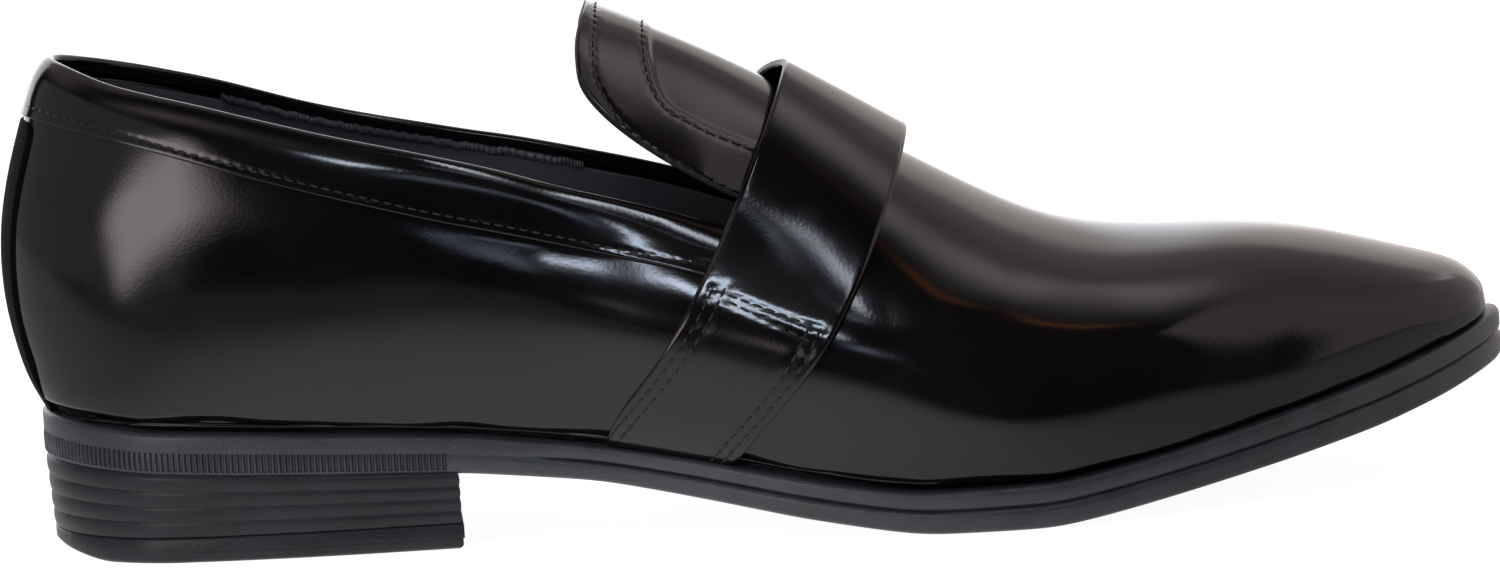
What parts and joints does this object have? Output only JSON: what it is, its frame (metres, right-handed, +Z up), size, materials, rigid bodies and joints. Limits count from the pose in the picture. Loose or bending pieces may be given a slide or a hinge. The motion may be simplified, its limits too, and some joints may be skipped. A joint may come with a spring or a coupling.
{
  "type": "strap loafer",
  "caption": "Right-foot dress loafer of polished leather with a plain strap over the vamp, a raised tongue, a moulded rubber sole and a stacked low heel.",
  "frame": {"origin": "middle of the heel tread, on the plane the shoe stands on", "axes": "+X towards the toe, +Y towards the inner side of the foot, +Z up"},
  "size_m": [0.304, 0.1043, 0.1052],
  "materials": {
    "polished_leather": "black, polished to a high gloss",
    "sole_rubber": "black, fine matte grain",
    "back_webbing": "black, ribbed",
    "sock_leather": "black, smooth"
  },
  "bodies": {
    "root": {"top_lift": "sole_rubber", "heel": "sole_rubber", "outsole": "sole_rubber", "welt": "sole_rubber", "insole": "sock_leather", "upper": "polished_leather", "collar_band": "polished_leather", "back_strip": "back_webbing", "tongue": "polished_leather", "strap": "polished_leather"}
  },
  "joints": []
}
